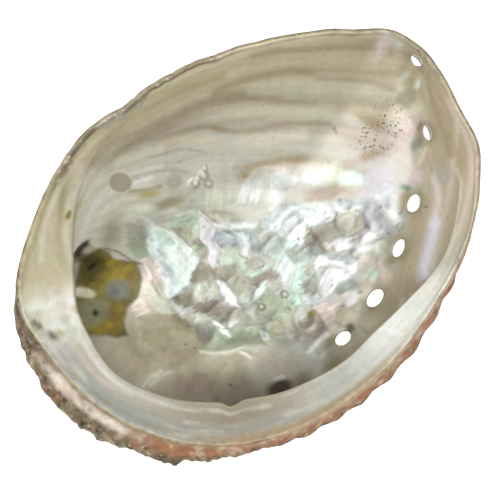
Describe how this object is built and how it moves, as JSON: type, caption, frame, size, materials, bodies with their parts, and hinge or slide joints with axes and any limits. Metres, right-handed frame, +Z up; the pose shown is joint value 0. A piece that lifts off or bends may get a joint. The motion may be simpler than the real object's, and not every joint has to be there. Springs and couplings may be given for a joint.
{
  "type": "abalone shell",
  "caption": "Ear-shaped abalone shell lying open side up: a nacre-lined bowl with an overhanging inner ledge, a curved row of open pores and a low spire behind.",
  "frame": {"origin": "bottom centre of the shell's bounding box, on the surface that it rests on", "axes": "+X towards the front end with the newest pore, +Y towards the thin growing lip, +Z up, out of the opening"},
  "size_m": [0.1496, 0.113, 0.0382],
  "materials": {
    "shell": "iridescent mother of pearl inside, rough grey-brown crust outside"
  },
  "bodies": {
    "root": {"abalone_shell": "shell"}
  },
  "joints": []
}
